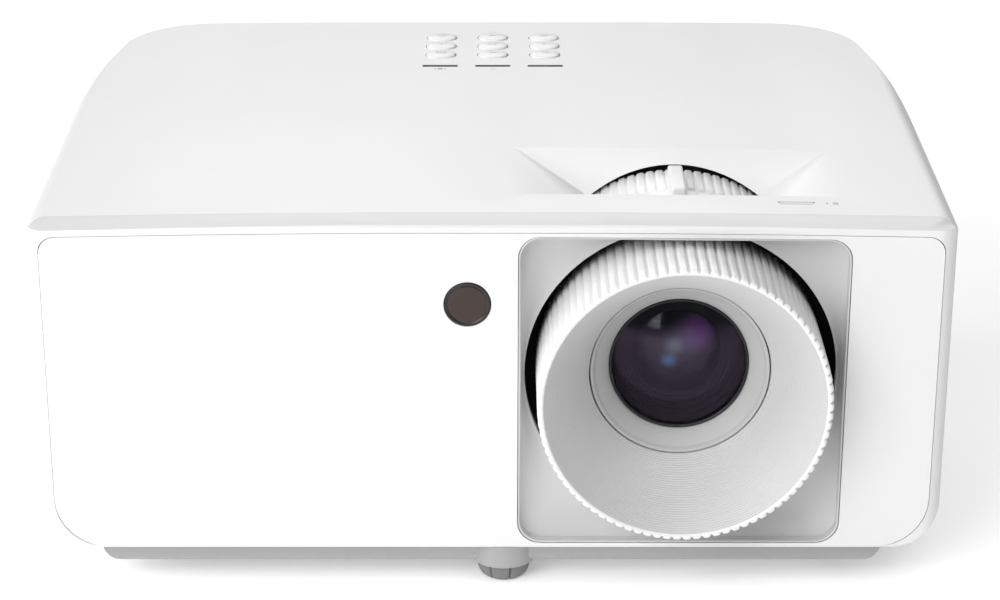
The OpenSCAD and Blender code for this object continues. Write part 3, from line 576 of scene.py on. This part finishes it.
def optics():
    """Coated front glass over stepped black baffles and a smaller inner lens."""
    faces = spherical(20.4, -75.7, 3.6) + spherical(20.4, -74.9, 3.3)[::-1]
    glass = turned("front_glass", faces, CLEAR, 240, 60)
    outfit(glass, "front_cell_body", "optical_glass", "front_lens")
    steps = [(20.6, -73.5), (20.2, -73.0), (18.6, -72.4), (18.6, -71.6), (17.2, -71.2),
             (17.2, -70.2), (15.8, -69.8), (15.8, -68.6), (14.6, -68.2), (14.6, -66.6),
             (13.4, -66.2), (13.4, -60.5), (20.6, -60.5)]
    baffles = turned("lens_baffles", steps, MATT_BLACK, angle=30)
    outfit(baffles, "front_cell_body", "cast_metal")
    # The inner lens carries painted reflections in its colour.
    second = turned("second_glass",
                    spherical(13.3, -66.4, 3.4) + [(13.3, -64.5), (POLE_R, -64.5)],
                    INNER_GLASS_PAINTED_REFLECTIONS, angle=60, close=False)
    outfit(second, "front_cell_body", "optical_glass")


POLE_R = 0.02          # a turned face stops this far from the axis
CLEAR = clear_glass("front_coated_glass", (0.80, 0.55, 0.95), 0.14)
# Painted reflections: violet and blue glints painted into the inner glass's colour at fixed places.
INNER_GLASS_PAINTED_REFLECTIONS = glass_with_painted_reflections("second_glass_painted_reflections", [
    ((0.006, 0.007), 0.0085, (0.13, 0.045, 0.16)),
    ((0.000, 0.004), 0.0085, (0.06, 0.06, 0.065)),
    ((-0.0025, -0.0015), 0.0034, (0.05, 0.14, 0.26)),
    ((-0.0010, 0.0030), 0.0040, (0.10, 0.11, 0.14))])

focus_ring()
front_cell()
optics()
paint(CAST, "lens_barrel", "zoom_cell")
paint(MATT_BLACK, "lens_shroud")
paint(OPTIC, "rear_lens_group")


# ---------- zoom ring ----------

ZOOM_R = 46.0          # over the teeth of the zoom ring


def zoom_ring():
    """The ring under the pocket, plain in front and knurled behind."""
    low, high = box_mm("zoom_ring")
    teeth, depth = 96, 0.7
    count = teeth * 10
    r, y0, y1 = ZOOM_R, low.y, high.y
    grip_y = -47.0
    rings = []
    for radius, y, deep in (
            (34.1, y0, 0), (r - 1.6, y0, 0), (r - 0.9, y0 + 0.3, 0), (r - 0.7, y0 + 1.0, 0),
            (r - 0.7, grip_y - 0.4, 0), (r, grip_y, 1), (r, y1 - 1.2, 1), (r - 0.25, y1 - 0.5, 1),
            (r - 0.8, y1, 0.5), (r - 2.8, y1, 0), (r - 3, y0 + 3, 0), (36.6, y0 + 3, 0),
            (36.6, y1, 0), (34.1, y1, 0)):
        rings.append(lens_ring(radius, y, count, teeth, depth * deep))
    piece = loft("zoom_ring_finish", rings, RING, close=True, angle=50)
    outfit(piece, "zoom_ring_body", "white_plastic", "zoom_ring")


def zoom_lever():
    """The zoom ring's finger lever: narrower at its top, with rounded edges."""
    low, high = box_mm("zoom_ring")
    half, taper = 2.6, 0.86
    foot_low = Vector((AXIS_X - half, low.y + 2, AXIS_Z + ZOOM_R - 2))
    foot_high = Vector((AXIS_X + half, -36, high.z))
    form = bmesh.new()
    bmesh.ops.create_cube(form, size=1)
    for v in form.verts:
        on_top = v.co.z > 0
        for k in range(3):
            v.co[k] = foot_low[k] if v.co[k] < 0 else foot_high[k]
        if on_top:
            v.co.x = AXIS_X + (v.co.x - AXIS_X) * taper
            v.co.y += 1.2 if v.co.y == foot_low.y else -0.5
    bmesh.ops.bevel(form, geom=form.edges[:], offset=0.8, segments=3, affect="EDGES", profile=0.6)
    bmesh.ops.scale(form, vec=(MM, MM, MM), verts=form.verts)
    mesh = bpy.data.meshes.new("zoom_lever")
    form.to_mesh(mesh)
    form.free()
    mesh.materials.append(RING)
    mesh.shade_smooth()
    mesh.set_sharp_from_angle(angle=math.radians(50))
    lever = bpy.data.objects.new("zoom_lever", mesh)
    bpy.context.scene.collection.objects.link(lever)
    outfit(lever, "zoom_ring_body", "white_plastic")


zoom_ring()
zoom_lever()


# ---------- keypad ----------

def pill(width, depth, steps=14):
    """Outline of a pill in x and y round the origin."""
    half, r = (width - depth) / 2, depth / 2
    points = []
    for side in (1, -1):
        for k in range(steps + 1):
            a = -math.pi / 2 + math.pi * k / steps
            points.append((side * (half + r * math.cos(a)), side * r * math.sin(a)))
    return points


def flat_shapes(name, shapes, x, y, z, thick, material, body, slot, crowned=False):
    """Printed marks: closed outlines, each a thin plate standing a hair over the surface."""
    points, faces = [], []
    for shape in shapes:
        first, n = len(points), len(shape)
        for level in (z - thick, z):
            points += [(x + px, y + py, level - (crown_drop(x + px) if crowned else 0))
                       for px, py in shape]
        faces.append(tuple(range(first + n, first + 2 * n)))
        faces.append(tuple(range(first, first + n))[::-1])
        faces += [(first + k, first + (k + 1) % n, first + n + (k + 1) % n, first + n + k)
                  for k in range(n)]
    piece = mesh_piece(name, points, faces, material, smooth=False)
    return outfit(piece, body, slot)


def bar(x0, y0, x1, y1, t=0.3):
    """A stroke between two points."""
    way = Vector((x1 - x0, y1 - y0)).normalized() * t / 2
    return [(x0 + way.y, y0 - way.x), (x1 + way.y, y1 - way.x),
            (x1 - way.y, y1 + way.x), (x0 - way.y, y0 + way.x)]


def arc_mark(x, y, r, start=0, end=360, t=0.3, steps=20):
    """A ring or part of one, as short strokes."""
    angles = [math.radians(start + (end - start) * k / steps) for k in range(steps + 1)]
    return [[(x + (r - t / 2) * math.cos(a), y + (r - t / 2) * math.sin(a)),
             (x + (r + t / 2) * math.cos(a), y + (r + t / 2) * math.sin(a)),
             (x + (r + t / 2) * math.cos(b), y + (r + t / 2) * math.sin(b)),
             (x + (r - t / 2) * math.cos(b), y + (r - t / 2) * math.sin(b))]
            for a, b in zip(angles, angles[1:])]


def chevron(x, y, size, turn, t=0.3):
    """A V-shaped arrow that points up before it is turned."""
    c, s = math.cos(math.radians(turn)), math.sin(math.radians(turn))
    tip, left, right = [(x + px * c - py * s, y + px * s + py * c)
                        for px, py in ((0, size * 0.4), (-size, -size * 0.4), (size, -size * 0.4))]
    return [bar(*left, *tip, t), bar(*tip, *right, t)]


MARKS = {
    "power_button": arc_mark(0, 0, 1.3, -240, 60) + [bar(0, 0.2, 0, 1.7)],
    "up_button": chevron(0, 0, 1.2, 0),
    "menu_button": [bar(-1.4, k, 1.4, k) for k in (-0.9, 0, 0.9)],
    "left_button": chevron(0, 0, 1.2, 90),
    "enter_button": arc_mark(0, 0, 1.2),
    "right_button": chevron(0, 0, 1.2, -90),
    "source_button": [bar(-1.5, -1, 1.5, -1), bar(1.5, -1, 1.5, 1), bar(1.5, 1, -1.5, 1),
                      bar(-1.5, 1, -1.5, -1), bar(-0.7, 0, 0.7, 0)],
    "down_button": chevron(0, 0, 1.2, 180),
    "return_button": arc_mark(0, 0, 1.1, -90, 150) + [bar(-1.1, 0.6, -0.2, 0.6)],
}
KEY_SIZE = (10.2, 8.0)           # of a cap, side to side and front to back


def key_caps():
    """A flanged pill with a crowned top for each button, and its mark."""
    for name, body_marks in MARKS.items():
        low, high = box_mm(name)
        x, y = (low.x + high.x) / 2, (low.y + high.y) / 2
        top = high.z
        rings = []
        for inset, z in ((-0.7, top - 5.6), (-0.7, top - 3.6), (0, top - 3.5), (0, top - 0.9),
                         (0.12, top - 0.62), (0.4, top - 0.38), (0.8, top - 0.26),
                         (1.6, top - 0.14), (2.6, top - 0.05), (3.5, top), (3.9, top)):
            rings.append([(x + px, y + py, z)
                          for px, py in pill(KEY_SIZE[0] - 2 * inset, KEY_SIZE[1] - 2 * inset)])
        cap = loft(name + "_cap", rings, SHELL, low_cap=True, high_cap=True, angle=50)
        outfit(cap, name + "_body", "white_plastic", name)
        flat_shapes(name + "_mark", body_marks, x, y, top, 0.25, SOFT_PRINT,
                    name + "_body", "grey_plastic")


key_caps()


POCKET_MARK = (90.4, -74.3)      # x and y of the sign ahead of the pocket


def cover_marks():
    """Small printed marks on the cover: by the lights, round the keys and by the pocket."""
    z = box_mm("top_cover")[1].z
    over_crown = z + 0.14      # clears the flats that the crown is made of
    lights = middle("indicator_light_pipes") / MM
    pitch = box_mm("menu_button")[0].x - box_mm("up_button")[0].x
    front = lights.y - 3.6
    lamp = arc_mark(0, 0, 0.7) + [bar(1.3, 0, 2.0, 0), bar(-2.0, 0, -1.3, 0)]
    flat_shapes("light_mark_lamp", lamp, lights.x - pitch, front, over_crown, 0.2, PRINT,
                "housing", "grey_plastic", True)
    flat_shapes("light_mark_heat", chevron(0, 0, 0.9, 0), lights.x, front, z + 0.02, 0.2, PRINT,
                "housing", "grey_plastic")
    mid = middle("enter_button") / MM
    for label, side, turn in (("rear", 1, 0), ("front", -1, 180)):
        flat_shapes("key_chevron_" + label, chevron(0, 0, 1.0, turn), mid.x, mid.y + side * 16.6,
                    z + 0.02, 0.2, SOFT_PRINT, "housing", "grey_plastic")
    outline = [bar(-6, 0.8, 5, 0.8), bar(-5, -0.8, 4, -0.8),
               bar(-6, 0.8, -5, -0.8), bar(5, 0.8, 4, -0.8)]
    flat_shapes("pocket_mark_zoom", outline + chevron(8.4, 0, 0.6, 90) + arc_mark(11, 0, 0.7),
                *POCKET_MARK, over_crown, 0.25, PRINT, "housing", "grey_plastic", True)


cover_marks()
refined("indicator_light_pipes", BAR, "housing", "light_pipe")


# ---------- feet ----------

def foot_pads():
    """Rubber feet on their screws, rounded below and grooved for the fingers."""
    first_groove = math.radians(15)
    for foot in ("front_foot", "rear_foot_left", "rear_foot_right"):
        low, high = box_mm(foot + "_pad")
        centre, r, top = (low + high) / 2, (high.x - low.x) / 2, high.z
        count, grooves = 288, 8
        rings = []
        for radius, z, deep in (
                (3.1, 2.0, 0), (3.1, top, 0), (r - 0.7, top, 0), (r - 0.2, top - 0.1, 0.6),
                (r, top - 0.5, 1), (r - 0.25, 3.6, 1), (r - 0.75, 1.9, 1), (r - 1.3, 0.9, 1),
                (r - 2.0, 0.3, 0.7), (r - 2.8, 0.03, 0.2), (r - 3.4, 0, 0), (0.05, 0, 0)):
            ring = []
            for k in range(count):
                turn = TAU * k / count
                d = radius - 0.75 * deep * groove(turn - first_groove, grooves, 60)
                ring.append((centre.x + d * math.cos(turn), centre.y + d * math.sin(turn), z))
            rings.append(ring)
        pad = loft(foot + "_pad_finish", rings, FOOT, high_cap=True, angle=50)
        outfit(pad, foot + "_wheel", "foot_rubber", foot + "_pad")


foot_pads()
paint(STEEL, "front_foot_stem", "rear_foot_left_stem", "rear_foot_right_stem")
paint(FOOT, "front_stop_pads")


# ---------- sockets, boards and inner parts ----------

paint(BOARD, "keypad_board", "ir_receiver_board", "main_board", "power_board", "dmd_board")
paint(STEEL, "hdmi_and_usb_ports", "serial_port", "port_jack_nuts", "case_screws", "wheel_motor")
paint(BLACK, "audio_jacks", "ac_inlet", "intake_fan_frame", "exhaust_fan_frame")
paint(DARK, "intake_fan_rotor", "exhaust_fan_rotor", "power_components", "speaker")
paint(BLUE, "vga_port")
paint(BRASS, "mount_inserts")
paint(COPPER, "heat_pipes")
paint(CAST, "engine_housing")
paint(ALLOY, "laser_module", "laser_heatsink", "dmd_heatsink")
paint(OPTIC, "relay_optics")
paint(PHOSPHOR, "phosphor_wheel")


# ---------- studio ----------

def floor():
    """Plain pale paper that the projector stands on."""
    material, tree, base = shader("studio_floor")
    cloud = object_noise(tree, 3.0, 3.0)
    tree.links.new(tint(tree, cloud, grey(0.94), grey(0.97)), base.inputs["Base Color"])
    base.inputs["Roughness"].default_value = 0.9
    base.inputs["Emission Color"].default_value = (1, 1, 1, 1)
    base.inputs["Emission Strength"].default_value = 0.28
    base.inputs["Specular IOR Level"].default_value = 0.1
    size = 6000
    corners = [(-size, -size, 0), (size, -size, 0), (size, size, 0), (-size, size, 0)]
    piece = mesh_piece("floor", corners, [(0, 1, 2, 3)], material, smooth=False)


def softbox(name, place, target, size, power):
    """A rectangular soft light. size is in metres and power in watts."""
    lamp = bpy.data.lights.new(name, "AREA")
    lamp.shape = "RECTANGLE"
    lamp.size, lamp.size_y = size
    lamp.energy = power
    light = bpy.data.objects.new(name, lamp)
    bpy.context.scene.collection.objects.link(light)
    light.location = place
    light.rotation_euler = (Vector(target) - Vector(place)).to_track_quat("-Z", "Y").to_euler()


def camera():
    """Looks down at the front from a little over a table's height."""
    lens = bpy.data.cameras.new("camera")
    lens.sensor_width = 36.0
    lens.lens = 98.8
    lens.shift_x = 0.0084
    lens.clip_start = 0.01
    view = bpy.data.objects.new("camera", lens)
    bpy.context.scene.collection.objects.link(view)
    view.location = (0.0, -0.8327, 0.4013)
    view.rotation_euler = (math.radians(90 - 22.45), 0, 0)
    bpy.context.scene.camera = view


def world():
    """Faint white light from all round."""
    sky = bpy.data.worlds.new("studio")
    sky.use_nodes = True
    sky.node_tree.nodes["Background"].inputs["Color"].default_value = (1, 1, 1, 1)
    sky.node_tree.nodes["Background"].inputs["Strength"].default_value = 0.10
    bpy.context.scene.world = sky


floor()
softbox("key_light", (-0.75, -1.15, 0.75), (0, -0.05, 0.06), (0.9, 0.9), 14)
softbox("left_light", (-1.3, -0.1, 0.7), (0, 0, 0.1), (0.8, 0.8), 9)
softbox("top_light", (0.2, -0.7, 1.2), (0, 0, 0.1), (1.0, 0.6), 4.5)
softbox("back_light", (0.2, 1.2, 0.9), (0, 0, 0.1), (1.2, 0.6), 7)
softbox("over_light", (-0.1, 0.1, 1.3), (0, 0, 0.1), (1.0, 0.8), 2.5)
camera()
world()
bpy.context.scene.view_settings.view_transform = "Standard"

bpy.context.view_layer.update()
